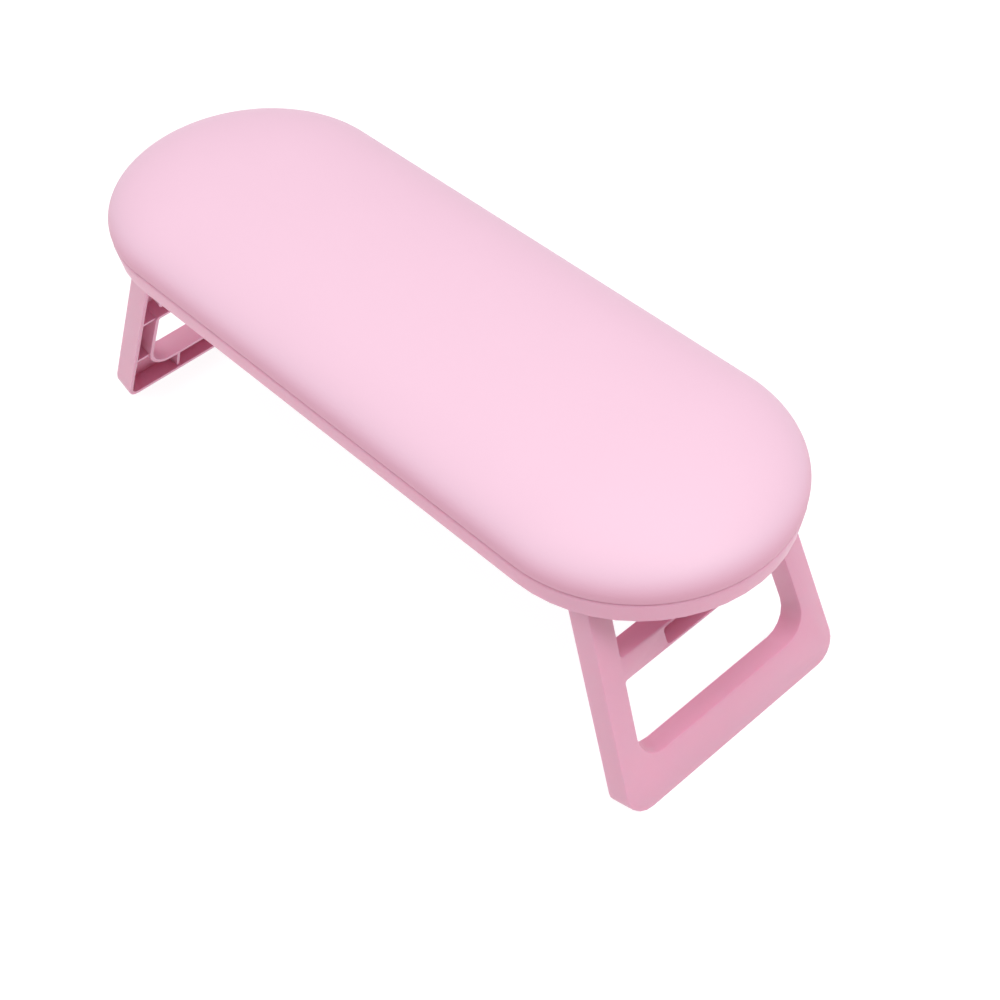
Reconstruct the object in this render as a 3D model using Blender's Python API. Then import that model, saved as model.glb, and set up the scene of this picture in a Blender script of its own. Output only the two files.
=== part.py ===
# Manicure hand rest: a padded leather bar on a moulded tray, held up by two splayed legs that fold
# in under the tray. Metres, +Z up. X runs along the rest, Y across it, and the origin lies on the
# table under the middle.
import math

import bmesh
import bpy
from mathutils import Matrix, Vector

# Whole rest
REST_HEIGHT = 0.108
MESH_GAP = 0.0003

# Padded bar: from above a long bar with round ends, in section a low dome
PAD_LENGTH = 0.300
PAD_WIDTH = 0.107
DOME_HEIGHT = 0.0169
DOME_POWER = 1.85
LIP_HEIGHT = 0.0018
LIP_TUCK = 0.0016
LEATHER_THICKNESS = 0.0012
HEM_WIDTH = 0.0120

# Board under the foam
BOARD_THICKNESS = 0.0040

# Tray under the pad
TRAY_INSET = 0.0014
SKIRT_HEIGHT = 0.0095
SKIRT_DRAFT = 0.0012
SKIRT_WALL = 0.0013
SKIRT_TOP_ROUND = 0.0018
RIM_ROUND = 0.0005
DECK_THICKNESS = 0.0020
DECK_CENTRE_HALF_WIDTH = 0.0060

# Ribs under the deck
RIB_THICKNESS = 0.0014
RIB_DEPTH = 0.0042
RIB_ROOT = 0.0006
MIDDLE_RIB_SPACING = 0.0100
MIDDLE_RIB_OFFSET = 0.0180
HINGE_RIB_DISTANCE = 0.0085
END_RIB_SPREAD = math.radians(32.0)
END_RIB_INNER_RADIUS = 0.0230

# Screws that hold the pad to the tray
SCREW_SHANK_DIAMETER = 0.0032
SCREW_HEAD_DIAMETER = 0.0066
SCREW_HEAD_HEIGHT = 0.0018
SCREW_FACE_DIAMETER = 0.0048
SCREW_SHOULDER_DIAMETER = 0.0061
SCREW_SHOULDER_HEIGHT = 0.0006
SCREW_RIM_HEIGHT = 0.0005
SCREW_TIP_DIAMETER = 0.0010
SCREW_CROSS_LENGTH = 0.0038
SCREW_CROSS_WIDTH = 0.0009
SCREW_CROSS_DEPTH = 0.0009
SCREW_BOARD_BITE = 0.0030
SCREW_COLLAR_DIAMETER = 0.0100
SCREW_COLLAR_HEIGHT = 0.0010
SPACER_DIAMETER = 0.0140
SIDE_SCREW_DISTANCE = 0.0556
SIDE_SCREW_OFFSET = 0.0220
END_SCREW_INSET = 0.0196

# Legs: moulded frames of channel section, open towards the middle of the rest
LEG_LEAN = math.radians(20.0)
LEG_DEPTH = 0.00925
LEG_WALL = 0.0015
LEG_EDGE_ROUND = 0.0008
FOOT_INSET = 0.0031
FOOT_CLEARANCE = 0.0004
FOOT_CORNER_RADIUS = 0.0090
FOOT_INNER_CORNER_RADIUS = 0.0045
FOOT_BAR_HEIGHT = 0.0170
CROSSBAR_LEVEL = 0.0494
CROSSBAR_HEIGHT = 0.0089
ARM_WIDTH = 0.0091
LEG_TAPER = 0.0076
WINDOW_FOOT_RADIUS = 0.0095
WINDOW_BAR_RADIUS = 0.0009
LEG_RIB_THICKNESS = 0.0012
LEG_RIB_DROP = 0.0010
ARM_RIB_LEVELS = (0.0255, 0.0492, 0.0680)
FOOT_RIB_OFFSETS = (-0.0250, 0.0, 0.0250)

# Finger recess in the outer face of the crossbar
RECESS_WIDTH = 0.0350
RECESS_LIP = 0.0012
RECESS_FLOOR = 0.0020
RECESS_CORNER_RADIUS = 0.0014
RECESS_EDGE_ROUND = 0.0004

# Hinges
STRAIGHT_ARM_LENGTH = 0.0080
KNUCKLE_RADIUS = 0.0042
KNUCKLE_SOLID_LENGTH = 0.0065
HINGE_PIN_DIAMETER = 0.0030
HINGE_PIN_HEAD_DIAMETER = 0.0052
HINGE_PIN_HEAD_HEIGHT = 0.0010
HINGE_PIN_HEAD_ROUND = 0.0005
HINGE_PIN_TIP = 0.0004
LUG_THICKNESS = 0.0022
LUG_RADIUS = 0.0034
LUG_SIDE_CLEARANCE = 0.0004

# Smoothness of the round forms
END_STEPS = 24
DOME_STEPS = 11
CORNER_STEPS = 5
ROUND_STEPS = 2
SEAM_STEPS = 4
LUG_STEPS = 8
TURNED_SIDES = 16
SMOOTH_ANGLE = math.radians(40.0)

# Sizes that follow from the ones above
CUT_MARGIN = 0.0010
PAD_WIDEST_LEVEL = REST_HEIGHT - DOME_HEIGHT
SEAM_LEVEL = PAD_WIDEST_LEVEL - LIP_HEIGHT
TRAY_LENGTH = PAD_LENGTH - 2 * TRAY_INSET
TRAY_WIDTH = PAD_WIDTH - 2 * TRAY_INSET
TRAY_TOP_LEVEL = SEAM_LEVEL - MESH_GAP
TRAY_EDGE_LEVEL = TRAY_TOP_LEVEL - SKIRT_HEIGHT
DECK_UNDERSIDE = TRAY_TOP_LEVEL - DECK_THICKNESS
BOARD_BOTTOM = SEAM_LEVEL + LEATHER_THICKNESS + MESH_GAP
BOARD_TOP = BOARD_BOTTOM + BOARD_THICKNESS
HINGE_LEVEL = DECK_UNDERSIDE - MESH_GAP - KNUCKLE_RADIUS
FACE_DISTANCE = LEG_DEPTH - KNUCKLE_RADIUS
FOOT_REACH = TRAY_LENGTH / 2 - FOOT_INSET
LEG_LENGTH = (HINGE_LEVEL + FACE_DISTANCE * math.sin(LEG_LEAN)) / math.cos(LEG_LEAN)
HINGE_STATION = FOOT_REACH - LEG_LENGTH * math.sin(LEG_LEAN) - FACE_DISTANCE * math.cos(LEG_LEAN)
SIDE_SCREW_STATION = HINGE_STATION - SIDE_SCREW_DISTANCE
END_SCREW_STATION = TRAY_LENGTH / 2 - END_SCREW_INSET
FOOT_WIDTH = TRAY_WIDTH - 2 * (SKIRT_WALL + FOOT_CLEARANCE)
HINGE_WIDTH = FOOT_WIDTH - 2 * LEG_TAPER
SHOULDER_LEVEL = -STRAIGHT_ARM_LENGTH
BLANK_TOP = 2 * KNUCKLE_RADIUS
END_CENTRE = (TRAY_LENGTH - TRAY_WIDTH) / 2
PIN_HOLE_RADIUS = HINGE_PIN_DIAMETER / 2 + MESH_GAP
SCREW_HOLE_RADIUS = SCREW_SHANK_DIAMETER / 2 + MESH_GAP


# General tools

def clear_scene():
    for thing in list(bpy.data.objects):
        bpy.data.objects.remove(thing, do_unlink=True)


def material(name, colour, roughness, metallic=0.0):
    finish = bpy.data.materials.new(name)
    finish.use_nodes = True
    shader = finish.node_tree.nodes["Principled BSDF"]
    shader.inputs["Base Color"].default_value = (*colour, 1.0)
    shader.inputs["Roughness"].default_value = roughness
    shader.inputs["Metallic"].default_value = metallic
    finish.diffuse_color = (*colour, 1.0)
    return finish


def object_from(bm, name, finish=None):
    bmesh.ops.recalc_face_normals(bm, faces=bm.faces[:])
    mesh = bpy.data.meshes.new(name)
    bm.to_mesh(mesh)
    bm.free()
    part = bpy.data.objects.new(name, mesh)
    bpy.context.scene.collection.objects.link(part)
    if finish is not None:
        mesh.materials.append(finish)
    return part


def shade(part):
    part.data.shade_smooth()
    part.data.set_sharp_from_angle(angle=SMOOTH_ANGLE)


def loft(name, rings, finish=None):
    """A closed body through rings of equally many points, with a flat cap on the first and last."""
    bm = bmesh.new()
    loops = [[bm.verts.new(point) for point in ring] for ring in rings]
    count = len(loops[0])
    for lower, upper in zip(loops, loops[1:]):
        for i in range(count):
            j = (i + 1) % count
            bm.faces.new((lower[i], lower[j], upper[j], upper[i]))
    bm.faces.new(list(reversed(loops[0])))
    bm.faces.new(loops[-1])
    return object_from(bm, name, finish)


def combine(target, tools, operation):
    """Join, cut or trim a body with others, which are used up."""
    for tool in tools:
        step = target.modifiers.new(operation.lower(), "BOOLEAN")
        step.operation = operation
        step.solver = "EXACT"
        step.object = tool
        bpy.context.view_layer.update()
        depsgraph = bpy.context.evaluated_depsgraph_get()
        finished = bpy.data.meshes.new_from_object(target.evaluated_get(depsgraph))
        target.modifiers.clear()
        used = target.data
        target.data = finished
        bpy.data.meshes.remove(used)
        bpy.data.objects.remove(tool, do_unlink=True)
    return target


def copy_of(part, name):
    twin = bpy.data.objects.new(name, part.data)
    bpy.context.scene.collection.objects.link(twin)
    return twin


def box(name, low, high):
    bm = bmesh.new()
    bmesh.ops.create_cube(bm, size=1.0)
    size = Vector(high) - Vector(low)
    middle = (Vector(high) + Vector(low)) / 2
    bmesh.ops.transform(bm, matrix=Matrix.Translation(middle) @ Matrix.Diagonal((*size, 1.0)), verts=bm.verts)
    return object_from(bm, name)


def turned(name, profile, axis="Z", finish=None):
    """A round piece from (radius, height) points, closed by flat discs."""
    rings = []
    for radius, height in profile:
        ring = []
        for i in range(TURNED_SIDES):
            angle = 2 * math.pi * i / TURNED_SIDES
            across, up = radius * math.cos(angle), radius * math.sin(angle)
            ring.append(Vector((across, up, height)) if axis == "Z" else Vector((across, height, -up)))
        rings.append(ring)
    return loft(name, rings, finish)


def move_mesh(part, offset):
    part.data.transform(Matrix.Translation(Vector(offset)))
    return part


def rounded_polygon(corners, radii):
    """Corner points with arcs in place of the corners that have a radius."""
    points = []
    count = len(corners)
    for i in range(count):
        here = Vector(corners[i])
        radius = radii[i]
        if radius <= 0.0:
            points.append(here)
            continue
        back = (Vector(corners[i - 1]) - here).normalized()
        ahead = (Vector(corners[(i + 1) % count]) - here).normalized()
        half_angle = back.angle(ahead) / 2
        centre = here + (back + ahead).normalized() * (radius / math.sin(half_angle))
        start = here + back * (radius / math.tan(half_angle)) - centre
        end = here + ahead * (radius / math.tan(half_angle)) - centre
        sweep = start.angle_signed(end)
        for k in range(CORNER_STEPS + 1):
            turn = -sweep * k / CORNER_STEPS
            points.append(centre + Matrix.Rotation(turn, 2) @ start)
    return points


def stadium_ring(half_length, half_width, level):
    """A bar with round ends, seen from above, as points at one level."""
    centre = half_length - half_width
    ring = []
    for side in (1, -1):
        for i in range(END_STEPS + 1):
            angle = math.pi * (i / END_STEPS - 0.5)
            x = side * (centre + half_width * math.cos(angle))
            y = side * half_width * math.sin(angle)
            ring.append(Vector((x, y, level)))
    return ring


# Pad

def dome_level(angle, offset):
    """Level of the dome at an angle that runs from 0 at its widest ring to a quarter turn on top."""
    share = max(0.0, 1.0 - math.cos(angle) ** DOME_POWER)
    return PAD_WIDEST_LEVEL + (DOME_HEIGHT - offset) * math.sqrt(share)


def dome_angle_at(level, offset):
    share = ((level - PAD_WIDEST_LEVEL) / (DOME_HEIGHT - offset)) ** 2
    return math.acos((1.0 - share) ** (1.0 / DOME_POWER))


def pad_ring(inset, level):
    return stadium_ring(PAD_LENGTH / 2 - inset, PAD_WIDTH / 2 - inset, level)


def dome_rings(offset, first_angle=0.0):
    """Rings up the dome, a given depth under the leather's outer side, from its edge to its top."""
    rings = []
    reach = PAD_WIDTH / 2 - offset
    for i in range(DOME_STEPS + 1):
        angle = first_angle + (math.pi / 2 - first_angle) * i / (DOME_STEPS + 0.5)
        level = dome_level(angle, offset) if i < DOME_STEPS else REST_HEIGHT - offset
        rings.append(pad_ring(offset + reach * (1.0 - math.cos(angle)), level))
    return rings


def make_cushion_cover(finish):
    """Leather over the dome, tucked in at the seam and hemmed in under the board."""
    inner = dome_rings(LEATHER_THICKNESS)
    hem_level = SEAM_LEVEL + LEATHER_THICKNESS
    hem_edge = LEATHER_THICKNESS + HEM_WIDTH
    hem = [pad_ring(LEATHER_THICKNESS + LIP_TUCK / 2, hem_level),
           pad_ring(hem_edge, hem_level), pad_ring(hem_edge, SEAM_LEVEL)]
    lip = []
    for i in range(SEAM_STEPS):
        angle = math.pi / 2 * i / SEAM_STEPS
        inset = LIP_TUCK * (1.0 - math.sin(angle))
        lip.append(pad_ring(inset, PAD_WIDEST_LEVEL - LIP_HEIGHT * math.cos(angle)))
    cover = loft("cushion_cover", inner[::-1] + hem + lip + dome_rings(0.0), finish)
    shade(cover)
    return cover


def make_foam_core(finish):
    """Foam that fills the leather from the board up."""
    depth = LEATHER_THICKNESS + MESH_GAP
    foam = loft("foam_core", dome_rings(depth, dome_angle_at(BOARD_TOP + MESH_GAP, depth)), finish)
    shade(foam)
    return foam


def make_backing_board(finish):
    """Board with blind pilot holes for the screws, as wide as the leather leaves room for."""
    depth = LEATHER_THICKNESS + MESH_GAP
    inset = depth + (PAD_WIDTH / 2 - depth) * (1.0 - math.cos(dome_angle_at(BOARD_TOP, depth)))
    board = loft("backing_board", [pad_ring(inset, BOARD_BOTTOM), pad_ring(inset, BOARD_TOP)], finish)
    top = BOARD_BOTTOM + SCREW_BOARD_BITE + MESH_GAP
    holes = [upright_cylinder(SCREW_HOLE_RADIUS, x, y, BOARD_BOTTOM - CUT_MARGIN, top)
             for x, y in screw_places()]
    return combine(board, holes, "DIFFERENCE")


# Tray

def tray_ring(inset, level):
    return stadium_ring(TRAY_LENGTH / 2 - inset, TRAY_WIDTH / 2 - inset, level)


def tray_shell(finish):
    """Deck and skirt in one wall: round top edge, slight draft and a softened lower rim."""
    outside = []
    for i in range(SEAM_STEPS + 1):
        angle = math.pi / 2 * i / SEAM_STEPS
        inset = SKIRT_TOP_ROUND * (1.0 - math.sin(angle)) - SKIRT_DRAFT
        outside.append(tray_ring(inset, TRAY_TOP_LEVEL - SKIRT_TOP_ROUND * (1.0 - math.cos(angle))))
    rim = [tray_ring(0.0, TRAY_EDGE_LEVEL + RIM_ROUND),
           tray_ring(RIM_ROUND, TRAY_EDGE_LEVEL),
           tray_ring(SKIRT_WALL, TRAY_EDGE_LEVEL)]
    inside = [tray_ring(SKIRT_WALL - SKIRT_DRAFT, DECK_UNDERSIDE)]
    centre = TRAY_WIDTH / 2 - DECK_CENTRE_HALF_WIDTH
    rings = [tray_ring(centre, TRAY_TOP_LEVEL)] + outside + rim + inside + [tray_ring(centre, DECK_UNDERSIDE)]
    return loft("tray", rings, finish)


def rib_half_width(x):
    """Half width that ends a rib inside the skirt's sloping wall, at a place along the tray."""
    beyond = max(0.0, abs(x) - END_CENTRE)
    return math.sqrt((TRAY_WIDTH / 2) ** 2 - beyond ** 2)


def cross_rib(x):
    half = rib_half_width(abs(x) + RIB_THICKNESS / 2)
    low = (x - RIB_THICKNESS / 2, -half, DECK_UNDERSIDE - RIB_DEPTH)
    high = (x + RIB_THICKNESS / 2, half, DECK_UNDERSIDE + RIB_ROOT)
    return box("rib", low, high)


def long_rib(y):
    reach = MIDDLE_RIB_SPACING
    low = (-reach, y - RIB_THICKNESS / 2, DECK_UNDERSIDE - RIB_DEPTH)
    high = (reach, y + RIB_THICKNESS / 2, DECK_UNDERSIDE + RIB_ROOT)
    return box("rib", low, high)


def end_rib(end, angle):
    """Rib that runs from near the hinges out to the round end of the skirt."""
    low = (END_RIB_INNER_RADIUS, -RIB_THICKNESS / 2, DECK_UNDERSIDE - RIB_DEPTH)
    high = (TRAY_WIDTH / 2, RIB_THICKNESS / 2, DECK_UNDERSIDE + RIB_ROOT)
    rib = box("rib", low, high)
    turn = angle if end > 0 else math.pi - angle
    rib.data.transform(Matrix.Translation((end * END_CENTRE, 0.0, 0.0)) @ Matrix.Rotation(turn, 4, "Z"))
    return rib


def lug_sides():
    """Where the two lugs of each arm stand across the rest, as (inner face, outer face) of each."""
    outer = HINGE_WIDTH / 2 + LUG_SIDE_CLEARANCE
    inner = HINGE_WIDTH / 2 - ARM_WIDTH - LUG_SIDE_CLEARANCE
    return ((inner - LUG_THICKNESS, inner), (outer, outer + LUG_THICKNESS))


def hinge_lug(end, low_y, high_y):
    """Lug that hangs from the deck, with a half-round lower end about the pin."""
    outline = [(LUG_RADIUS, DECK_UNDERSIDE + RIB_ROOT), (-LUG_RADIUS, DECK_UNDERSIDE + RIB_ROOT)]
    for i in range(LUG_STEPS + 1):
        angle = math.pi * (1.0 + i / LUG_STEPS)
        outline.append((LUG_RADIUS * math.cos(angle), HINGE_LEVEL + LUG_RADIUS * math.sin(angle)))
    rings = [[Vector((end * HINGE_STATION + x, y, z)) for x, z in outline] for y in (low_y, high_y)]
    return loft("lug", rings)


def cylinder_across(radius, x, low_y, high_y, z):
    cylinder = turned("cylinder", [(radius, low_y), (radius, high_y)], "Y")
    return move_mesh(cylinder, (x, 0.0, z))


def upright_cylinder(radius, x, y, low_z, high_z):
    cylinder = turned("cylinder", [(radius, low_z), (radius, high_z)])
    return move_mesh(cylinder, (x, y, 0.0))


def screw_places():
    """Four screws inside the windows of the folded legs, and one in each round end."""
    places = [(end * END_SCREW_STATION, 0.0) for end in (1, -1)]
    for end in (1, -1):
        for side in (1, -1):
            places.append((end * SIDE_SCREW_STATION, side * SIDE_SCREW_OFFSET))
    return places


def make_tray(finish):
    tray = tray_shell(finish)
    ribs = [cross_rib(x) for x in (-MIDDLE_RIB_SPACING, 0.0, MIDDLE_RIB_SPACING)]
    ribs += [long_rib(y) for y in (-MIDDLE_RIB_OFFSET, MIDDLE_RIB_OFFSET)]
    for end in (1, -1):
        ribs.append(cross_rib(end * (HINGE_STATION + HINGE_RIB_DISTANCE)))
        ribs += [end_rib(end, angle) for angle in (-END_RIB_SPREAD, END_RIB_SPREAD)]
    combine(tray, ribs, "UNION")
    lugs = []
    for end in (1, -1):
        for side in (1, -1):
            for inner, outer in lug_sides():
                low_y, high_y = sorted((side * inner, side * outer))
                lugs.append(hinge_lug(end, low_y, high_y))
    combine(tray, lugs, "UNION")
    seats = []
    for x, y in screw_places():
        seats.append(upright_cylinder(SCREW_COLLAR_DIAMETER / 2, x, y,
                                      DECK_UNDERSIDE - SCREW_COLLAR_HEIGHT, DECK_UNDERSIDE + RIB_ROOT))
        seats.append(upright_cylinder(SPACER_DIAMETER / 2, x, y,
                                      TRAY_TOP_LEVEL - RIB_ROOT, BOARD_BOTTOM - MESH_GAP))
    combine(tray, seats, "UNION")
    holes = [upright_cylinder(SCREW_HOLE_RADIUS, x, y, DECK_UNDERSIDE - 2 * SCREW_COLLAR_HEIGHT,
                              BOARD_BOTTOM + CUT_MARGIN) for x, y in screw_places()]
    for end in (1, -1):
        for side in (1, -1):
            low_y, high_y = sorted((side * (lug_sides()[0][0] - CUT_MARGIN),
                                    side * (lug_sides()[1][1] + CUT_MARGIN)))
            holes.append(cylinder_across(PIN_HOLE_RADIUS, end * HINGE_STATION, low_y, high_y, HINGE_LEVEL))
    combine(tray, holes, "DIFFERENCE")
    shade(tray)
    return tray


# Legs, modelled about their hinge: local z runs up the slope, local x out of the smooth face

def foot_level(x):
    """Local level of the table under a leg, at a depth through the leg."""
    return -(HINGE_LEVEL + x * math.sin(LEG_LEAN)) / math.cos(LEG_LEAN)


def leg_half_width(z):
    """Half width of the frame, which narrows evenly up to the shoulder and is straight above it."""
    share = min(1.0, (z + LEG_LENGTH) / (SHOULDER_LEVEL + LEG_LENGTH))
    return (FOOT_WIDTH + (HINGE_WIDTH - FOOT_WIDTH) * share) / 2


def leg_outline(x, inset, top):
    """Outline of the frame at one depth, moved inwards by an inset, as (y, z) points.

    The foot's corners get tighter from the outer face to the inner side.
    """
    foot = foot_level(x) + inset / math.cos(LEG_LEAN)
    foot_half = leg_half_width(foot) - inset
    top_half = leg_half_width(SHOULDER_LEVEL) - inset
    corners = [(-foot_half, foot), (foot_half, foot), (top_half, SHOULDER_LEVEL), (top_half, top),
               (-top_half, top), (-top_half, SHOULDER_LEVEL)]
    share = (FACE_DISTANCE - x) / LEG_DEPTH
    radius = FOOT_CORNER_RADIUS + (FOOT_INNER_CORNER_RADIUS - FOOT_CORNER_RADIUS) * share - inset
    return rounded_polygon(corners, (radius, radius, 0.0, 0.0, 0.0, 0.0))


def lower_window_outline(outset):
    low = -LEG_LENGTH + FOOT_BAR_HEIGHT - outset
    high = -LEG_LENGTH + CROSSBAR_LEVEL + outset
    low_half = leg_half_width(low) - ARM_WIDTH + outset
    high_half = leg_half_width(high) - ARM_WIDTH + outset
    corners = [(-low_half, low), (low_half, low), (high_half, high), (-high_half, high)]
    foot_radius = WINDOW_FOOT_RADIUS + outset
    bar_radius = WINDOW_BAR_RADIUS + outset
    return rounded_polygon(corners, (foot_radius, foot_radius, bar_radius, bar_radius))


def upper_window_outline(outset):
    low = -LEG_LENGTH + CROSSBAR_LEVEL + CROSSBAR_HEIGHT - outset
    low_half = leg_half_width(low) - ARM_WIDTH + outset
    top_half = leg_half_width(SHOULDER_LEVEL) - ARM_WIDTH + outset
    corners = [(-low_half, low), (low_half, low), (top_half, SHOULDER_LEVEL), (top_half, BLANK_TOP),
               (-top_half, BLANK_TOP), (-top_half, SHOULDER_LEVEL)]
    bar_radius = WINDOW_BAR_RADIUS + outset
    return rounded_polygon(corners, (bar_radius, bar_radius, 0.0, 0.0, 0.0, 0.0))


def recess_outline(outset):
    low = -LEG_LENGTH + CROSSBAR_LEVEL + RECESS_LIP - outset
    high = low + CROSSBAR_HEIGHT - 2 * RECESS_LIP + 2 * outset
    half = RECESS_WIDTH / 2 + outset
    corners = [(-half, low), (half, low), (half, high), (-half, high)]
    return rounded_polygon(corners, (RECESS_CORNER_RADIUS + outset,) * 4)


def depth_rings(outlines):
    return [[Vector((x, y, z)) for y, z in outline] for x, outline in outlines]


def soft_cutter(name, outline, first_depth, softness):
    """Cutter through the outer face whose mouth flares out, so that the edge that it leaves is round."""
    stages = [(first_depth, outline(0.0))]
    for i in range(ROUND_STEPS + 1):
        angle = math.pi / 2 * i / ROUND_STEPS
        depth = FACE_DISTANCE - softness * (1.0 - math.sin(angle))
        stages.append((depth, outline(softness * (1.0 - math.cos(angle)))))
    stages.append((FACE_DISTANCE + CUT_MARGIN, outline(softness)))
    return loft(name, depth_rings(stages))


def leg_blank(finish):
    """The frame as a solid slab with a soft outer edge."""
    stages = [(-KNUCKLE_RADIUS, leg_outline(-KNUCKLE_RADIUS, 0.0, BLANK_TOP))]
    for i in range(ROUND_STEPS + 1):
        angle = math.pi / 2 * i / ROUND_STEPS
        depth = FACE_DISTANCE - LEG_EDGE_ROUND * (1.0 - math.sin(angle))
        stages.append((depth, leg_outline(depth, LEG_EDGE_ROUND * (1.0 - math.cos(angle)), BLANK_TOP)))
    return loft("near_leg", depth_rings(stages), finish)


def arm_rib(side, level):
    middle = -LEG_LENGTH + level
    outer = side * (leg_half_width(middle) - LEG_WALL / 2)
    inner = side * (leg_half_width(middle) - ARM_WIDTH + LEG_WALL / 2)
    low_y, high_y = sorted((inner, outer))
    return box("rib", (-KNUCKLE_RADIUS + LEG_RIB_DROP, low_y, middle - LEG_RIB_THICKNESS / 2),
               (FACE_DISTANCE, high_y, middle + LEG_RIB_THICKNESS / 2))


def foot_rib(y):
    low = foot_level(FACE_DISTANCE) + LEG_WALL / 2
    high = -LEG_LENGTH + FOOT_BAR_HEIGHT - LEG_WALL / 2
    return box("rib", (-KNUCKLE_RADIUS + LEG_RIB_DROP, y - LEG_RIB_THICKNESS / 2, low),
               (FACE_DISTANCE, y + LEG_RIB_THICKNESS / 2, high))


def channel_cutter():
    """The hollow of the channel: inside the outer wall, outside the window walls, between the ribs."""
    floor = FACE_DISTANCE - LEG_WALL
    behind = -KNUCKLE_RADIUS - CUT_MARGIN
    hollow = loft("channel", depth_rings([
        (behind, leg_outline(behind, LEG_WALL, -KNUCKLE_SOLID_LENGTH)),
        (floor, leg_outline(floor, LEG_WALL, -KNUCKLE_SOLID_LENGTH))]))
    keep = []
    for outline in (lower_window_outline, upper_window_outline):
        keep.append(loft("wall", depth_rings([(behind - CUT_MARGIN, outline(LEG_WALL)),
                                              (floor + CUT_MARGIN, outline(LEG_WALL))])))
    keep.append(loft("wall", depth_rings([(behind - CUT_MARGIN, recess_outline(LEG_WALL)),
                                          (floor + CUT_MARGIN, recess_outline(LEG_WALL))])))
    keep += [arm_rib(side, level) for side in (1, -1) for level in ARM_RIB_LEVELS]
    keep += [foot_rib(y) for y in FOOT_RIB_OFFSETS]
    return combine(hollow, keep, "DIFFERENCE")


def knuckle_trim():
    """Side view of the arm's top: round about the pin towards the middle, level where it meets the deck."""
    outer = FACE_DISTANCE + CUT_MARGIN
    inner = -KNUCKLE_RADIUS - CUT_MARGIN
    tangent = math.pi / 2 - LEG_LEAN
    outline = []
    for i in range(LUG_STEPS + 1):
        angle = math.pi + (tangent - math.pi) * i / LUG_STEPS
        outline.append((KNUCKLE_RADIUS * math.cos(angle), KNUCKLE_RADIUS * math.sin(angle)))
    outline.append((outer, (KNUCKLE_RADIUS - outer * math.sin(LEG_LEAN)) / math.cos(LEG_LEAN)))
    low = -LEG_LENGTH - KNUCKLE_RADIUS
    outline += [(outer, low), (inner, low), (inner, -CUT_MARGIN)]
    reach = FOOT_WIDTH / 2 + CUT_MARGIN
    return loft("trim", [[Vector((x, y, z)) for x, z in outline] for y in (-reach, reach)])


def make_near_leg(finish):
    leg = leg_blank(finish)
    combine(leg, [channel_cutter()], "DIFFERENCE")
    behind = -KNUCKLE_RADIUS - CUT_MARGIN
    recess_floor = -KNUCKLE_RADIUS + RECESS_FLOOR
    cutters = [soft_cutter("window", lower_window_outline, behind, LEG_EDGE_ROUND),
               soft_cutter("window", upper_window_outline, behind, LEG_EDGE_ROUND),
               soft_cutter("recess", recess_outline, recess_floor, RECESS_EDGE_ROUND)]
    combine(leg, cutters, "DIFFERENCE")
    combine(leg, [knuckle_trim()], "INTERSECT")
    reach = HINGE_WIDTH / 2 + CUT_MARGIN
    combine(leg, [cylinder_across(PIN_HOLE_RADIUS, 0.0, -reach, reach, 0.0)], "DIFFERENCE")
    shade(leg)
    leg.location = (HINGE_STATION, 0.0, HINGE_LEVEL)
    leg.rotation_euler = (0.0, -LEG_LEAN, 0.0)
    return leg


def make_far_leg(near_leg):
    leg = copy_of(near_leg, "far_leg")
    leg.location = (-HINGE_STATION, 0.0, HINGE_LEVEL)
    leg.rotation_euler = (0.0, -LEG_LEAN, math.pi)
    return leg


# Fasteners

def make_hinge_pins(finish):
    """A headed pin through both lugs and the arm between them, head outwards, for each arm."""
    (inner_low, _), (_, outer_high) = lug_sides()
    shank = HINGE_PIN_DIAMETER / 2
    head = HINGE_PIN_HEAD_DIAMETER / 2
    tip = inner_low - 2 * HINGE_PIN_TIP
    seat = outer_high + MESH_GAP
    profile = [(shank - HINGE_PIN_TIP, tip), (shank, tip + HINGE_PIN_TIP), (shank, seat), (head, seat),
               (head, seat + HINGE_PIN_HEAD_HEIGHT - HINGE_PIN_HEAD_ROUND),
               (head - HINGE_PIN_HEAD_ROUND, seat + HINGE_PIN_HEAD_HEIGHT)]
    first = turned("hinge_pin_1", profile, "Y", finish)
    shade(first)
    pins = [first] + [copy_of(first, "hinge_pin_%d" % number) for number in (2, 3, 4)]
    places = [(end, side) for end in (1, -1) for side in (1, -1)]
    for pin, (end, side) in zip(pins, places):
        pin.location = (end * HINGE_STATION, 0.0, HINGE_LEVEL)
        pin.rotation_euler = (0.0, 0.0, 0.0 if side > 0 else math.pi)
    return pins


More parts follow.
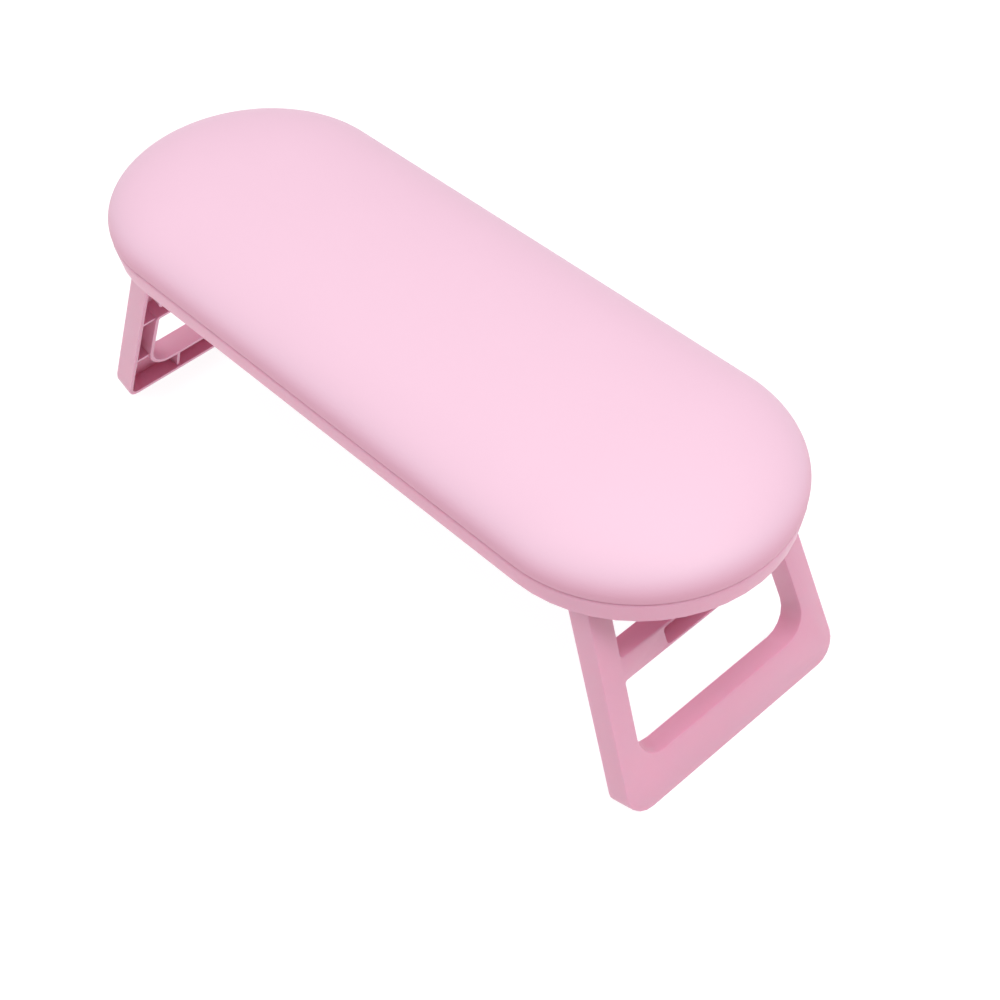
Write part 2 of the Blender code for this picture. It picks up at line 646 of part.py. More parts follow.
def make_tray_screws(finish):
    """Pan-head screws up through the deck into the board, with a cross for the driver."""
    seat = DECK_UNDERSIDE - SCREW_COLLAR_HEIGHT - MESH_GAP
    tip = BOARD_BOTTOM + SCREW_BOARD_BITE
    shank = SCREW_SHANK_DIAMETER / 2
    head = SCREW_HEAD_DIAMETER / 2
    bottom = seat - SCREW_HEAD_HEIGHT
    profile = [(SCREW_FACE_DIAMETER / 2, bottom),
               (SCREW_SHOULDER_DIAMETER / 2, bottom + SCREW_SHOULDER_HEIGHT),
               (head, seat - SCREW_RIM_HEIGHT), (head, seat),
               (shank, seat), (shank, tip - shank), (SCREW_TIP_DIAMETER / 2, tip)]
    first = turned("tray_screw_1", profile, "Z", finish)
    reach = SCREW_CROSS_LENGTH / 2
    thin = SCREW_CROSS_WIDTH / 2
    top = bottom + SCREW_CROSS_DEPTH
    cross = [box("cross", (-reach, -thin, bottom - CUT_MARGIN), (reach, thin, top)),
             box("cross", (-thin, -reach, bottom - CUT_MARGIN), (thin, reach, top))]
    combine(first, cross, "DIFFERENCE")
    shade(first)
    places = screw_places()
    screws = [first] + [copy_of(first, "tray_screw_%d" % (i + 2)) for i in range(len(places) - 1)]
    for screw, (x, y) in zip(screws, places):
        screw.location = (x, y, 0.0)
    return screws


def build_hand_rest():
    leather = material("pink_leather", (0.93, 0.58, 0.72), 0.45)
    foam = material("white_foam", (0.88, 0.86, 0.82), 0.95)
    fibreboard = material("fibreboard", (0.55, 0.40, 0.26), 0.85)
    plastic = material("pink_plastic", (0.72, 0.36, 0.48), 0.40)
    steel = material("zinc_steel", (0.62, 0.63, 0.65), 0.35, 1.0)
    make_cushion_cover(leather)
    make_foam_core(foam)
    make_backing_board(fibreboard)
    make_tray(plastic)
    make_far_leg(make_near_leg(plastic))
    make_hinge_pins(steel)
    make_tray_screws(steel)


clear_scene()
build_hand_rest()
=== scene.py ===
import math

import bmesh
import bpy
import numpy as np
from mathutils import Matrix, Vector


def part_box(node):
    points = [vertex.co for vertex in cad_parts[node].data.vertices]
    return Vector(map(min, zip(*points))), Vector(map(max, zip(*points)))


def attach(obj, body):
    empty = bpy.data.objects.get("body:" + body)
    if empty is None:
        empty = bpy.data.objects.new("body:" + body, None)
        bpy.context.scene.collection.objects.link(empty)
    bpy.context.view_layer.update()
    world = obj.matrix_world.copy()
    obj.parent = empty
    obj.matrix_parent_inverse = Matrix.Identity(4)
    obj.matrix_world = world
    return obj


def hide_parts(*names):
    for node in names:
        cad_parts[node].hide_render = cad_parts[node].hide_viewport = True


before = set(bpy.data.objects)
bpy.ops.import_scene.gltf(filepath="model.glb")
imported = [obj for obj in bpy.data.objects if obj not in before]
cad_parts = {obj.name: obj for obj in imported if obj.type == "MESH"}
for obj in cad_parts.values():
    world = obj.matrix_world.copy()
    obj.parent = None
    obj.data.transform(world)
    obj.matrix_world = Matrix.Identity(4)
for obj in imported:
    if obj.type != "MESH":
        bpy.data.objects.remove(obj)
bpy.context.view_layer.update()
scene = bpy.context.scene
print("frame loaded:", len(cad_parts), "nodes")


# Camera: a turn round the rest, a height above it and a small roll, as the photograph was taken
camera = {
    "turn": math.radians(49.491),       # from the front towards the near end
    "height": math.radians(46.687),
    "roll": math.radians(-3.438),
    "distance": 0.59447,
    "target": (0.05063, -0.01689, 0.05500),
    "sensor": 36.0,
    "lens": 64.315,
    "clipStart": 0.01,
    "clipEnd": 30.0,
}


def aimedCamera(choice):
    # right, up and back are the camera's own axes; back points from the target to the camera
    turn, height, roll = choice["turn"], choice["height"], choice["roll"]
    back = Vector((math.sin(turn) * math.cos(height), -math.cos(turn) * math.cos(height),
                   math.sin(height)))
    level = (-back).cross(Vector((0.0, 0.0, 1.0))).normalized()
    upright = level.cross(-back)
    right = level * math.cos(roll) + upright * math.sin(roll)
    up = upright * math.cos(roll) - level * math.sin(roll)
    data = bpy.data.cameras.new("photoCamera")
    data.sensor_width = choice["sensor"]
    data.lens = choice["lens"]
    data.clip_start = choice["clipStart"]
    data.clip_end = choice["clipEnd"]
    eye = bpy.data.objects.new("photoCamera", data)
    place = Matrix((right, up, back)).transposed().to_4x4()
    place.translation = Vector(choice["target"]) + back * choice["distance"]
    eye.matrix_world = place
    scene.collection.objects.link(eye)
    return eye


scene.camera = aimedCamera(camera)
print("camera set")


# Node helpers

def addNode(tree, kind, x, y, **settings):
    node = tree.nodes.new(kind)
    node.location = (x, y)
    for key, value in settings.items():
        setattr(node, key, value)
    return node


def setInputs(node, values):
    for key, value in values.items():
        node.inputs[key].default_value = value


def newGroup(name, inputs, outputs):
    # a shader node group whose inputs come as (name, kind, default) and outputs as (name, kind)
    group = bpy.data.node_groups.new(name, "ShaderNodeTree")
    for socketName, kind, default in inputs:
        socket = group.interface.new_socket(socketName, in_out="INPUT", socket_type=kind)
        socket.default_value = default
    for socketName, kind in outputs:
        group.interface.new_socket(socketName, in_out="OUTPUT", socket_type=kind)
    start = addNode(group, "NodeGroupInput", -900, 0)
    end = addNode(group, "NodeGroupOutput", 700, 0)
    return group, start, end


def makeToneGroup():
    # slow drift of colour and roughness over a piece, as every moulded or coated surface has
    group, start, end = newGroup(
        "toneDrift",
        (("Colour", "NodeSocketColor", (0.8, 0.8, 0.8, 1.0)),
         ("Patch Size", "NodeSocketFloat", 40.0),
         ("Colour Drift", "NodeSocketFloat", 0.03),
         ("Roughness", "NodeSocketFloat", 0.45),
         ("Roughness Drift", "NodeSocketFloat", 0.06)),
        (("Colour", "NodeSocketColor"), ("Roughness", "NodeSocketFloat")))
    link = group.links.new
    place = addNode(group, "ShaderNodeTexCoord", -900, -300)
    noise = addNode(group, "ShaderNodeTexNoise", -600, -200)
    setInputs(noise, {"Detail": 4.0, "Roughness": 0.6})
    link(place.outputs["Object"], noise.inputs["Vector"])
    link(start.outputs["Patch Size"], noise.inputs["Scale"])
    centred = addNode(group, "ShaderNodeMath", -400, -200, operation="SUBTRACT")
    centred.inputs[1].default_value = 0.5
    link(noise.outputs["Fac"], centred.inputs[0])
    shade = addNode(group, "ShaderNodeMath", -200, 0, operation="MULTIPLY_ADD")
    link(centred.outputs[0], shade.inputs[0])
    link(start.outputs["Colour Drift"], shade.inputs[1])
    shade.inputs[2].default_value = 1.0
    tint = addNode(group, "ShaderNodeVectorMath", 100, 100, operation="SCALE")
    link(start.outputs["Colour"], tint.inputs[0])
    link(shade.outputs[0], tint.inputs["Scale"])
    gloss = addNode(group, "ShaderNodeMath", 100, -200, operation="MULTIPLY_ADD")
    link(centred.outputs[0], gloss.inputs[0])
    link(start.outputs["Roughness Drift"], gloss.inputs[1])
    link(start.outputs["Roughness"], gloss.inputs[2])
    link(tint.outputs["Vector"], end.inputs["Colour"])
    link(gloss.outputs[0], end.inputs["Roughness"])
    return group


def makeGrainGroup():
    # fine height pattern: round cells like a skin's pebbles, mixed with a finer grain
    group, start, end = newGroup(
        "surfaceGrain",
        (("Cells", "NodeSocketFloat", 900.0),
         ("Fine", "NodeSocketFloat", 3000.0),
         ("Cell Share", "NodeSocketFloat", 0.5)),
        (("Height", "NodeSocketFloat"),))
    link = group.links.new
    place = addNode(group, "ShaderNodeTexCoord", -900, -300)
    cells = addNode(group, "ShaderNodeTexVoronoi", -600, 100, feature="SMOOTH_F1")
    fine = addNode(group, "ShaderNodeTexNoise", -600, -200)
    setInputs(fine, {"Detail": 2.0})
    link(place.outputs["Object"], cells.inputs["Vector"])
    link(place.outputs["Object"], fine.inputs["Vector"])
    link(start.outputs["Cells"], cells.inputs["Scale"])
    link(start.outputs["Fine"], fine.inputs["Scale"])
    mixed = addNode(group, "ShaderNodeMix", -200, 0)
    link(start.outputs["Cell Share"], mixed.inputs["Factor"])
    link(fine.outputs["Fac"], mixed.inputs["A"])
    link(cells.outputs["Distance"], mixed.inputs["B"])
    link(mixed.outputs["Result"], end.inputs["Height"])
    return group


toneDrift = makeToneGroup()
surfaceGrain = makeGrainGroup()


def paintedSeamShade(tree, look):
    # painted shade low on the side: the shade colour at the seam's level, fading to the piece's own
    # colour over a given height above it
    place = addNode(tree, "ShaderNodeTexCoord", -1400, 200)
    parts = addNode(tree, "ShaderNodeSeparateXYZ", -1200, 200)
    rise = addNode(tree, "ShaderNodeMapRange", -1000, 200)
    setInputs(rise, {"From Min": look["seamLevel"], "From Max": look["seamLevel"] + look["seamShadeFade"]})
    ramp = addNode(tree, "ShaderNodeValToRGB", -800, 200)
    ramp.color_ramp.interpolation = "EASE"
    ramp.color_ramp.elements[0].color = (*look["seamShadeColour"], 1.0)
    ramp.color_ramp.elements[1].color = (*look["colour"], 1.0)
    tree.links.new(place.outputs["Object"], parts.inputs[0])
    tree.links.new(parts.outputs["Z"], rise.inputs["Value"])
    tree.links.new(rise.outputs["Result"], ramp.inputs["Fac"])
    return ramp.outputs["Color"]


def finishMaterial(name, look):
    # one Principled shader, its colour and roughness from toneDrift and its bump from surfaceGrain
    finish = bpy.data.materials.new(name)
    finish.use_nodes = True
    tree = finish.node_tree
    link = tree.links.new
    shader = tree.nodes["Principled BSDF"]
    setInputs(shader, look.get("shader", {}))
    tone = addNode(tree, "ShaderNodeGroup", -500, 200, node_tree=toneDrift)
    setInputs(tone, {"Colour": (*look["colour"], 1.0), "Patch Size": look["patchSize"],
                     "Colour Drift": look["colourDrift"], "Roughness": look["roughness"],
                     "Roughness Drift": look["roughnessDrift"]})
    # painted shade: where the look asks for it, the colour deepens low on the side towards the seam
    if "seamShadeColour" in look:
        link(paintedSeamShade(tree, look), tone.inputs["Colour"])
    link(tone.outputs["Colour"], shader.inputs["Base Color"])
    link(tone.outputs["Roughness"], shader.inputs["Roughness"])
    grain = addNode(tree, "ShaderNodeGroup", -500, -200, node_tree=surfaceGrain)
    setInputs(grain, {"Cells": look["cells"], "Fine": look["fine"], "Cell Share": look["cellShare"]})
    bump = addNode(tree, "ShaderNodeBump", -250, -200)
    setInputs(bump, {"Strength": look["bumpStrength"], "Distance": look["bumpDepth"]})
    link(grain.outputs["Height"], bump.inputs["Height"])
    link(bump.outputs["Normal"], shader.inputs["Normal"])
    return finish


# Finishes
finishes = {
    "leather": {
        "colour": (0.67, 0.44, 0.545), "patchSize": 35.0, "colourDrift": 0.02,
        "roughness": 0.46, "roughnessDrift": 0.08,
        "cells": 900.0, "fine": 2600.0, "cellShare": 0.65,
        "bumpStrength": 0.35, "bumpDepth": 0.00008,
        # painted shade: the leather is given a deeper, pinker colour low on its side, by the seam
        "seamShadeColour": (0.69, 0.335, 0.45), "seamLevel": 0.0895, "seamShadeFade": 0.0085,
        "shader": {"Specular IOR Level": 0.28, "Sheen Weight": 0.04, "Sheen Roughness": 0.5,
                   "Sheen Tint": (1.0, 0.62, 0.78, 1.0)},
    },
    "plastic": {
        "colour": (0.69, 0.34, 0.46), "patchSize": 30.0, "colourDrift": 0.03,
        "roughness": 0.36, "roughnessDrift": 0.06,
        "cells": 2500.0, "fine": 4200.0, "cellShare": 0.3,
        "bumpStrength": 0.2, "bumpDepth": 0.00004,
        "shader": {"Specular IOR Level": 0.5, "Subsurface Weight": 0.35, "Subsurface Scale": 0.004,
                   "Subsurface Radius": (1.0, 0.4, 0.55)},
    },
    "foam": {
        "colour": (0.85, 0.83, 0.78), "patchSize": 60.0, "colourDrift": 0.08,
        "roughness": 0.95, "roughnessDrift": 0.04,
        "cells": 1400.0, "fine": 3200.0, "cellShare": 0.8,
        "bumpStrength": 0.9, "bumpDepth": 0.0005,
    },
    "fibreboard": {
        "colour": (0.50, 0.36, 0.23), "patchSize": 120.0, "colourDrift": 0.25,
        "roughness": 0.85, "roughnessDrift": 0.1,
        "cells": 700.0, "fine": 2800.0, "cellShare": 0.3,
        "bumpStrength": 0.5, "bumpDepth": 0.0002,
    },
    "steel": {
        "colour": (0.62, 0.63, 0.65), "patchSize": 400.0, "colourDrift": 0.1,
        "roughness": 0.32, "roughnessDrift": 0.15,
        "cells": 3000.0, "fine": 6000.0, "cellShare": 0.2,
        "bumpStrength": 0.15, "bumpDepth": 0.00003,
        "shader": {"Metallic": 1.0},
    },
}
pinkLeather = finishMaterial("pinkLeather", finishes["leather"])
pinkPlastic = finishMaterial("pinkPlastic", finishes["plastic"])
paleFoam = finishMaterial("paleFoam", finishes["foam"])
fibreboard = finishMaterial("rawFibreboard", finishes["fibreboard"])
zincSteel = finishMaterial("zincSteel", finishes["steel"])
print("finishes made")


# Mesh helpers
weldGap = 1e-7      # points of a new surface closer than this are one point


def gridFaces(rows, columns):
    # quads of a grid whose columns close into a ring and whose rows are open
    row, column = np.meshgrid(np.arange(rows - 1), np.arange(columns), indexing="ij")
    ahead = (column + 1) % columns
    return np.stack([row * columns + column, row * columns + ahead,
                     (row + 1) * columns + ahead, (row + 1) * columns + column],
                    axis=-1).reshape(-1, 4)


def signedVolume(points, faces):
    # sum of the tetrahedra from the origin to each face, split into triangles from its first corner
    total = 0.0
    for step in range(1, faces.shape[1] - 1):
        a, b, c = points[faces[:, 0]], points[faces[:, step]], points[faces[:, step + 1]]
        total += np.einsum("ij,ij->i", a, np.cross(b, c)).sum() / 6.0
    return total


def pieceFrom(name, points, faces):
    # a closed piece with outward faces: coincident points are merged, which closes seams and poles
    if signedVolume(points, faces) < 0.0:
        faces = faces[:, ::-1]
    mesh = bpy.data.meshes.new(name)
    mesh.from_pydata(points.tolist(), [], faces.tolist())
    bm = bmesh.new()
    bm.from_mesh(mesh)
    bmesh.ops.remove_doubles(bm, verts=bm.verts[:], dist=weldGap)
    bm.to_mesh(mesh)
    bm.free()
    mesh.shade_smooth()
    piece = bpy.data.objects.new(name, mesh)
    scene.collection.objects.link(piece)
    return piece


def meshPoints(mesh):
    points = np.empty(len(mesh.vertices) * 3)
    mesh.vertices.foreach_get("co", points)
    return points.reshape(-1, 3)


def setMeshPoints(mesh, points):
    mesh.vertices.foreach_set("co", points.reshape(-1))
    mesh.update()


def dress(piece, finish, body, slotName, *nodes):
    # finish, body, a material slot name that is not used, and the CAD nodes that the piece stands for
    piece.data.materials.clear()
    piece.data.materials.append(finish)
    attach(piece, body)
    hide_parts(*nodes)


# Pad: leather, and the foam that fills it
coverLow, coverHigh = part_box("cushion_cover")
pad = {
    "halfLength": (coverHigh.x - coverLow.x) / 2,
    "halfWidth": (coverHigh.y - coverLow.y) / 2,
    "top": coverHigh.z,
    "seam": coverLow.z,
    "lipHeight": 0.0018,       # from the seam up to the widest ring
    "trayGap": 0.0003,         # from the tray's flat top up to the seam
    "trayRound": 0.0018,       # radius of the tray's top edge, on which the leather rests
    "trayInset": 0.0020,       # of the start of that radius from the pad's outline
    "restGap": 0.00012,        # between the leather and the tray's round edge
    "restTurn": 0.80,          # angle down the round edge at which the leather leaves it
    "domePower": 2.5,          # 2 gives a quarter ellipse in section, more a fuller shoulder
    "crestRound": 0.16,        # eases the middle line, where the dome's two sides meet
    "thickness": 0.0012,
    "hem": 0.012,              # leather folded in under the board
    "endSteps": 88,
    "sideSteps": 64,
    "domeSteps": 44,
    "lipSteps": 10,
    "foamDepth": 0.0019,       # of the foam's top under the leather's outer side
    "boardTop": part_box("backing_board")[1].z,
    "foamGap": 0.0003,         # from the board up to the foam
    "foamSearch": 2000,        # steps in which the foam's first angle over the board is looked for
    "proxyVoxel": 0.0045,      # size of the cloth proxy's faces
    "pressure": 4.0,
    "bending": 5.0,
    "clothQuality": 6,
    "frames": 20,
    "evenRounds": 60,          # rounds that even out the movement over the proxy
    "moveLimit": 0.0016,
    "sideShare": 0.2,          # of the sideways movement is kept, so that the outline stays
    "fill": 0.85,
}


def outlineWalk(endSteps, sideSteps):
    # one walk round the bar: each station's place along the middle line and its way out from there
    angles = np.pi * (np.arange(endSteps) / endSteps - 0.5)
    shares = 1.0 - 2.0 * np.arange(sideSteps) / sideSteps
    middle = np.concatenate([np.ones(endSteps), shares, -np.ones(endSteps), -shares])
    outX = np.concatenate([np.cos(angles), np.zeros(sideSteps), -np.cos(angles), np.zeros(sideSteps)])
    outY = np.concatenate([np.sin(angles), np.ones(sideSteps), -np.sin(angles), -np.ones(sideSteps)])
    return middle, outX, outY


def barSurface(radius, level, choice):
    # each point is a place on the middle line plus its row's radius in its column's way out
    middle, outX, outY = outlineWalk(choice["endSteps"], choice["sideSteps"])
    reach = choice["halfLength"] - choice["halfWidth"]
    x = middle[None, :] * reach + radius[:, None] * outX[None, :]
    y = radius[:, None] * outY[None, :]
    z = np.repeat(level[:, None], len(middle), axis=1)
    return np.stack([x, y, z], axis=-1).reshape(-1, 3), gridFaces(len(radius), len(middle))


def domeShare(angle, choice):
    # height above the widest ring as a share of the whole, with cos(angle) as the share of the width:
    # root of 1 - cos^power, in which crestRound keeps the power away from nought at the middle line
    power, crest = choice["domePower"], choice["crestRound"]
    wide = (1.0 + crest ** 2) ** (power / 2)
    here = (np.cos(angle) ** 2 + crest ** 2) ** (power / 2)
    return np.sqrt(np.maximum(wide - here, 0.0) / (wide - crest ** power))


def domeProfile(depth, firstAngle, choice):
    # section from the widest ring, or a start above it, up to the middle line
    angle = np.linspace(firstAngle, np.pi / 2, choice["domeSteps"] + 1)
    widest = choice["seam"] + choice["lipHeight"]
    radius = (choice["halfWidth"] - depth) * np.cos(angle)
    radius[-1] = 0.0
    return radius, widest + (choice["top"] - depth - widest) * domeShare(angle, choice)


def coverProfile(choice):
    # inner side down, the hem inwards under the board, then the lip and the dome outside; the lip
    # follows the tray's round edge down to restTurn, then curves out and up to the widest ring
    widest = choice["seam"] + choice["lipHeight"]
    under = choice["seam"] - choice["trayGap"] + choice["restGap"]
    innerRadius, innerLevel = domeProfile(choice["thickness"], 0.0, choice)
    hemRadius = choice["halfWidth"] - choice["thickness"] - choice["hem"]
    hemLevel = choice["seam"] + choice["thickness"]
    bendRadius = choice["halfWidth"] - choice["thickness"] - choice["restGap"]
    turn = np.linspace(0.0, choice["restTurn"], choice["lipSteps"])
    reach = choice["trayRound"] + choice["restGap"]
    restRadius = choice["halfWidth"] - choice["trayInset"] + reach * np.sin(turn)
    restLevel = choice["seam"] - choice["trayGap"] - choice["trayRound"] + reach * np.cos(turn)
    lipAngle = np.linspace(0.0, np.pi / 2, choice["lipSteps"], endpoint=False)[1:]
    lipRadius = restRadius[-1] + (choice["halfWidth"] - restRadius[-1]) * np.sin(lipAngle)
    lipLevel = widest - (widest - restLevel[-1]) * np.cos(lipAngle)
    outerRadius, outerLevel = domeProfile(0.0, 0.0, choice)
    radius = np.concatenate([innerRadius[::-1], [bendRadius, hemRadius, hemRadius],
                             restRadius, lipRadius, outerRadius])
    level = np.concatenate([innerLevel[::-1], [hemLevel, hemLevel, under],
                            restLevel, lipLevel, outerLevel])
    return radius, level


def solidProfile(choice):
    # the pad as one solid: its flat underside, then the dome outside
    outerRadius, outerLevel = domeProfile(0.0, 0.0, choice)
    radius = np.concatenate([[0.0, choice["halfWidth"] - choice["lipHeight"]], outerRadius])
    level = np.concatenate([[choice["seam"], choice["seam"]], outerLevel])
    return radius, level


def evenedOut(moved, edges, free, rounds):
    # each round puts every free point's movement half way to the mean of its neighbours' movements
    neighbours = np.bincount(edges.reshape(-1), minlength=len(moved)).reshape(-1, 1)
    for step in range(rounds):
        total = np.zeros_like(moved)
        for axis in range(3):
            total[:, axis] = np.bincount(edges[:, 0], moved[edges[:, 1], axis], len(moved))
            total[:, axis] += np.bincount(edges[:, 1], moved[edges[:, 0], axis], len(moved))
        moved = np.where(free[:, None], (moved + total / neighbours) / 2, moved)
    return moved


def padProxy(choice):
    # the pad's solid with faces of one size, which the cloth needs
    proxy = pieceFrom("padProxy", *barSurface(*solidProfile(choice), choice))
    remesh = proxy.modifiers.new("evenMesh", "REMESH")
    remesh.mode = "VOXEL"
    remesh.voxel_size = choice["proxyVoxel"]
    bpy.context.view_layer.update()
    even = bpy.data.meshes.new_from_object(proxy.evaluated_get(bpy.context.evaluated_depsgraph_get()))
    proxy.modifiers.clear()
    proxy.data = even
    return proxy


def tieTo(proxy, pieces):
    for piece in pieces:
        follow = piece.modifiers.new("followProxy", "SURFACE_DEFORM")
        follow.target = proxy
        with bpy.context.temp_override(object=piece, active_object=piece):
            bpy.ops.object.surfacedeform_bind(modifier=follow.name)


def pressedPoints(proxy, low, choice):
    # the proxy's points after the filling has pressed on it from inside, its low points held
    held = proxy.vertex_groups.new(name="held")
    held.add(np.flatnonzero(low).tolist(), 1.0, "REPLACE")
    cloth = proxy.modifiers.new("leatherCloth", "CLOTH")
    cloth.settings.quality = choice["clothQuality"]
    cloth.settings.bending_stiffness = choice["bending"]
    cloth.settings.use_pressure = True
    cloth.settings.uniform_pressure_force = choice["pressure"]
    cloth.settings.vertex_group_mass = "held"
    cloth.settings.effector_weights.gravity = 0.0
    cloth.point_cache.frame_end = choice["frames"]
    for number in range(1, choice["frames"] + 1):
        scene.frame_set(number)
    points = meshPoints(proxy.evaluated_get(bpy.context.evaluated_depsgraph_get()).data)
    proxy.modifiers.clear()
    return points


def swell(pieces, choice):
    # the pieces follow the pressed proxy, its movement evened out and kept under moveLimit
    proxy = padProxy(choice)
    even = proxy.data
    start = meshPoints(even)
    edges = np.empty(len(even.edges) * 2, dtype=np.int64)
    even.edges.foreach_get("vertices", edges)
    low = start[:, 2] < choice["seam"] + choice["lipHeight"]
    tieTo(proxy, pieces)
    moved = pressedPoints(proxy, low, choice) - start
    moved = evenedOut(moved, edges.reshape(-1, 2), ~low, choice["evenRounds"])
    size = np.linalg.norm(moved, axis=1, keepdims=True)
    moved *= np.minimum(1.0, choice["moveLimit"] / np.maximum(size, 1e-9))
    print("leather moved at most", float(size.max()))
    setMeshPoints(even, start + moved)
    scene.frame_set(1)
    depsgraph = bpy.context.evaluated_depsgraph_get()
    shapes = []
    for piece in pieces:
        shape = meshPoints(piece.data)
        change = meshPoints(piece.evaluated_get(depsgraph).data) - shape
        change[:, :2] *= choice["sideShare"]
        shapes.append(shape + change)
    crown = shapes[0][:, 2].max()
    for piece, shape in zip(pieces, shapes):
        # the crown comes back to the pad's own height, and all below it in proportion
        share = np.maximum(shape[:, 2] - choice["seam"], 0.0) / (crown - choice["seam"])
        shape[:, 2] += (choice["top"] - crown) * share
        piece.modifiers.clear()
        setMeshPoints(piece.data, shape)
    print("crown rose to", float(crown), "before it came back")
    bpy.data.objects.remove(proxy, do_unlink=True)
    bpy.data.meshes.remove(even)


def foamProfile(choice):
    # the foam's flat underside over the board, then its dome from the angle that clears the board
    angles = np.linspace(0.0, np.pi / 2, choice["foamSearch"])
    search = dict(choice, domeSteps=choice["foamSearch"] - 1)
    levels = domeProfile(choice["foamDepth"], 0.0, search)[1]
    clear = angles[np.argmax(levels > choice["boardTop"] + choice["foamGap"])]
    radius, level = domeProfile(choice["foamDepth"], clear, choice)
    return np.concatenate([[0.0], radius]), np.concatenate([level[:1], level])


padLeather = pieceFrom("padLeather", *barSurface(*coverProfile(pad), pad))
foamFilling = pieceFrom("foamFilling", *barSurface(*foamProfile(pad), pad))
swell([padLeather, foamFilling], pad)
dress(padLeather, pinkLeather, "rest", "leather", "cushion_cover")
dress(foamFilling, paleFoam, "rest", "foam", "foam_core")
print("pad made")


# Hard pieces: the CAD nodes with whole faces, eased edges and smooth round forms
hard = {
    "flatAngle": math.radians(0.6),       # neighbouring faces closer than this are one face
    "smoothAngle": math.radians(35.0),
    "plasticEdge": 0.00022,
    "steelEdge": 0.00010,
    "boardEdge": 0.00020,
    "edgeSteps": 2,
    "places": 7,                          # decimals to which a node's corners are compared
    "weldGap": 2e-6,
}


def finishedCopy(nodeName, edgeWidth, choice):
    # the node's triangles with equal corners merged and flat neighbours joined, then a small bevel
    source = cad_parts[nodeName].data
    points = meshPoints(source)
    corners = np.empty(len(source.loops), dtype=np.int64)
    source.loops.foreach_get("vertex_index", corners)
    places, merged = np.unique(np.round(points, choice["places"]), axis=0, return_inverse=True)
    faces = merged.reshape(-1)[corners].reshape(-1, 3)
    mesh = bpy.data.meshes.new(nodeName + "Finished")
    mesh.from_pydata(places.tolist(), [], faces.tolist())
    bm = bmesh.new()
    bm.from_mesh(mesh)
    bmesh.ops.remove_doubles(bm, verts=bm.verts[:], dist=choice["weldGap"])
    bmesh.ops.dissolve_limit(bm, angle_limit=choice["flatAngle"],
                             verts=bm.verts[:], edges=bm.edges[:])
    bm.to_mesh(mesh)
    bm.free()
    mesh.shade_smooth()
    mesh.set_sharp_from_angle(angle=choice["smoothAngle"])
    piece = bpy.data.objects.new(nodeName + "Finished", mesh)
    scene.collection.objects.link(piece)
    eased = piece.modifiers.new("easedEdges", "BEVEL")
    eased.width = edgeWidth
    eased.segments = choice["edgeSteps"]
    eased.limit_method = "ANGLE"
    eased.angle_limit = choice["smoothAngle"]
    eased.harden_normals = True
    return piece


def finishNode(nodeName, finish, body, slotName, edgeName):
    dress(finishedCopy(nodeName, hard[edgeName], hard), finish, body, slotName, nodeName)


finishNode("tray", pinkPlastic, "rest", "plastic", "plasticEdge")
finishNode("near_leg", pinkPlastic, "near_leg_frame", "plastic", "plasticEdge")
finishNode("far_leg", pinkPlastic, "far_leg_frame", "plastic", "plasticEdge")
finishNode("backing_board", fibreboard, "rest", "fibreboard", "boardEdge")
for number in range(1, 5):
    finishNode("hinge_pin_%d" % number, zincSteel, "rest", "steel", "steelEdge")
for number in range(1, 7):
    finishNode("tray_screw_%d" % number, zincSteel, "rest", "steel", "steelEdge")
print("hard pieces finished")


# Stage: a white floor that lights the object from below as well, a sky brightest overhead, and two
# softboxes, a large one on the front side and a smaller one above the near end
stage = {
    "floorSize": 6.0,
    "floorColour": (0.20, 0.20, 0.20),
    "floorRoughness": 0.9,
    "floorGlow": 0.90,
    "skyBase": 0.12,
    "skyZenith": 3.0,
    "skyPower": 4.0,
    "backdrop": 0.90,          # what the camera sees beyond the floor
    "frontPower": 6.0,
    "frontSize": 1.4,
    "frontPlace": (-0.7, -1.1, 1.3),
    "endPower": 8.0,
    "endSize": 0.6,
    "endPlace": (0.95, 0.15, 1.4),
}


def paperMaterial(choice):
    # white paper with a glow, clear from below so that the underside can be looked at
    paper = bpy.data.materials.new("whitePaper")
    paper.use_nodes = True
    tree = paper.node_tree
    link = tree.links.new
    shader = tree.nodes["Principled BSDF"]
    setInputs(shader, {"Base Color": (*choice["floorColour"], 1.0),
                       "Roughness": choice["floorRoughness"], "Specular IOR Level": 0.0,
                       "Emission Color": (1.0, 1.0, 1.0, 1.0),
                       "Emission Strength": choice["floorGlow"]})
    side = addNode(tree, "ShaderNodeNewGeometry", -200, 300)
    clear = addNode(tree, "ShaderNodeBsdfTransparent", 0, -300)
    choose = addNode(tree, "ShaderNodeMixShader", 300, 100)
    link(side.outputs["Backfacing"], choose.inputs["Fac"])
    link(shader.outputs["BSDF"], choose.inputs[1])
    link(clear.outputs["BSDF"], choose.inputs[2])
    link(choose.outputs["Shader"], tree.nodes["Material Output"].inputs["Surface"])
    return paper


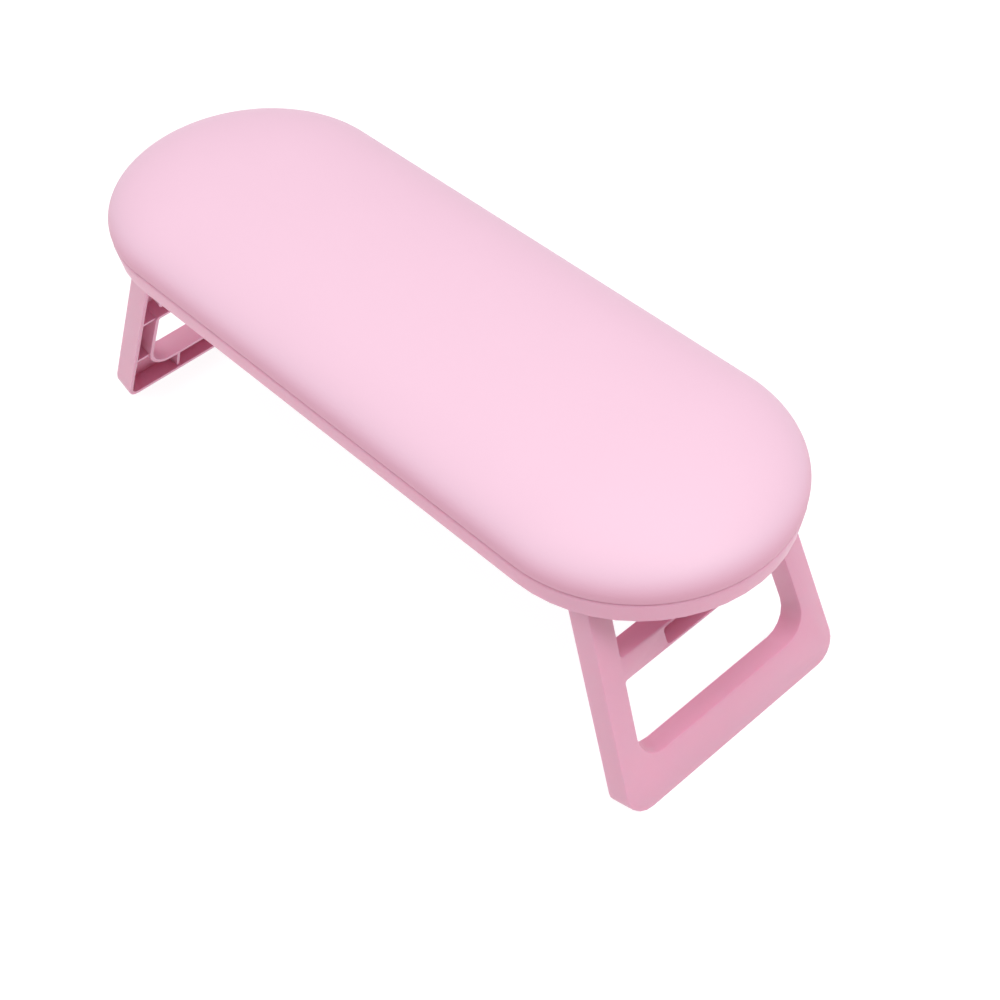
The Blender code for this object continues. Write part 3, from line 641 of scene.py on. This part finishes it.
def makeFloor(choice):
    half = choice["floorSize"] / 2
    mesh = bpy.data.meshes.new("studioFloor")
    corners = [(-half, -half, 0.0), (half, -half, 0.0), (half, half, 0.0), (-half, half, 0.0)]
    mesh.from_pydata(corners, [], [(0, 1, 2, 3)])
    floor = bpy.data.objects.new("studioFloor", mesh)
    scene.collection.objects.link(floor)
    mesh.materials.append(paperMaterial(choice))


def softLight(name, place, size, power):
    data = bpy.data.lights.new(name, "AREA")
    data.shape = "SQUARE"
    data.size = size
    data.energy = power
    lamp = bpy.data.objects.new(name, data)
    lamp.location = place
    lamp.rotation_euler = (-Vector(place)).to_track_quat("-Z", "Y").to_euler()
    scene.collection.objects.link(lamp)


def makeSky(choice):
    # radiance = skyBase + skyZenith * (height of the direction) ^ skyPower, but an even backdrop
    # for the camera itself
    sky = bpy.data.worlds.new("studioSky")
    sky.use_nodes = True
    tree = sky.node_tree
    link = tree.links.new
    place = addNode(tree, "ShaderNodeTexCoord", -900, 0)
    parts = addNode(tree, "ShaderNodeSeparateXYZ", -700, 0)
    height = addNode(tree, "ShaderNodeMath", -500, 0, operation="MAXIMUM")
    height.inputs[1].default_value = 0.0
    power = addNode(tree, "ShaderNodeMath", -300, 0, operation="POWER")
    power.inputs[1].default_value = choice["skyPower"]
    glow = addNode(tree, "ShaderNodeMath", -100, 0, operation="MULTIPLY_ADD")
    glow.inputs[1].default_value = choice["skyZenith"]
    glow.inputs[2].default_value = choice["skyBase"]
    link(place.outputs["Generated"], parts.inputs[0])
    link(parts.outputs["Z"], height.inputs[0])
    link(height.outputs[0], power.inputs[0])
    link(power.outputs[0], glow.inputs[0])
    setInputs(tree.nodes["Background"], {"Color": (1.0, 1.0, 1.0, 1.0)})
    path = addNode(tree, "ShaderNodeLightPath", -100, 300)
    seen = addNode(tree, "ShaderNodeMix", 100, 0)
    setInputs(seen, {"B": choice["backdrop"]})
    link(path.outputs["Is Camera Ray"], seen.inputs["Factor"])
    link(glow.outputs[0], seen.inputs["A"])
    link(seen.outputs["Result"], tree.nodes["Background"].inputs["Strength"])
    return sky


makeFloor(stage)
softLight("frontSoftbox", stage["frontPlace"], stage["frontSize"], stage["frontPower"])
softLight("endSoftbox", stage["endPlace"], stage["endSize"], stage["endPower"])
scene.world = makeSky(stage)
scene.view_settings.view_transform = "Standard"
print("stage lit")
